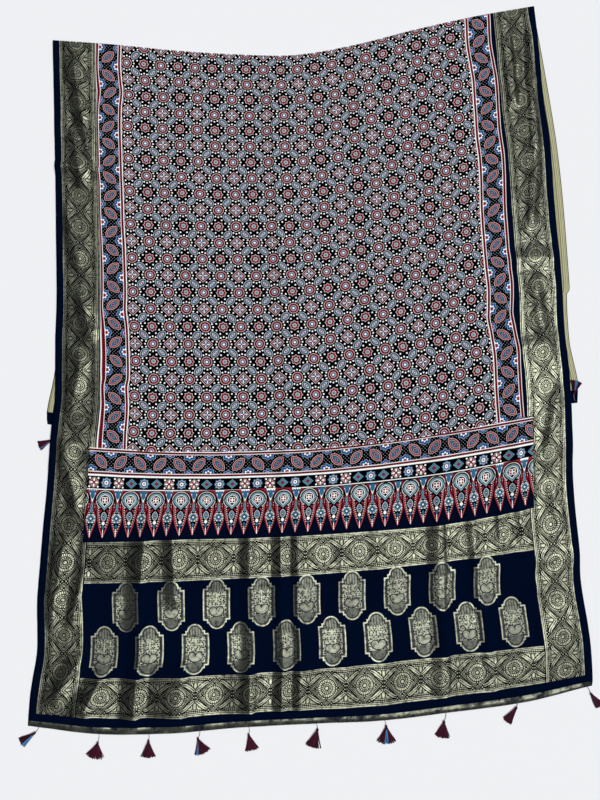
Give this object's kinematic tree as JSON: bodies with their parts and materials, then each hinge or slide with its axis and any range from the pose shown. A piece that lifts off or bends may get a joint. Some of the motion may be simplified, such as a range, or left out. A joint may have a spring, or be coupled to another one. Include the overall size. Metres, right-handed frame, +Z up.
{
  "type": "printed and brocaded stole with tassels",
  "caption": "A wide navy stole with a block-printed ajrakh field, gold woven borders and cartouches and maroon tassels, laid on the floor and folded once across its width.",
  "frame": {"origin": "On the floor, on the flat underside of the lower layer of the cloth, below the point that the camera looks at.", "axes": "+X runs across the width to the right as seen from the front hem, +Y runs along the length from the front hem towards the fold, +Z is up from the floor."},
  "size_m": [1.1804, 1.6452, 0.0136],
  "materials": {
    "cloth": "woven, with a soft sheen and gold thread in the borders",
    "tassel": "twisted thread with a satin sheen"
  },
  "bodies": {
    "root": {"cloth": "cloth", "tassel_front_01": "tassel", "tassel_front_02": "tassel", "tassel_front_03": "tassel", "tassel_front_04": "tassel", "tassel_front_05": "tassel", "tassel_front_06": "tassel", "tassel_front_07": "tassel", "tassel_front_08": "tassel", "tassel_front_09": "tassel", "tassel_front_10": "tassel", "tassel_back_01": "tassel", "tassel_back_02": "tassel", "tassel_back_03": "tassel", "tassel_back_04": "tassel", "tassel_back_05": "tassel", "tassel_back_06": "tassel", "tassel_back_07": "tassel", "tassel_back_08": "tassel", "tassel_back_09": "tassel", "tassel_back_10": "tassel"}
  },
  "joints": []
}
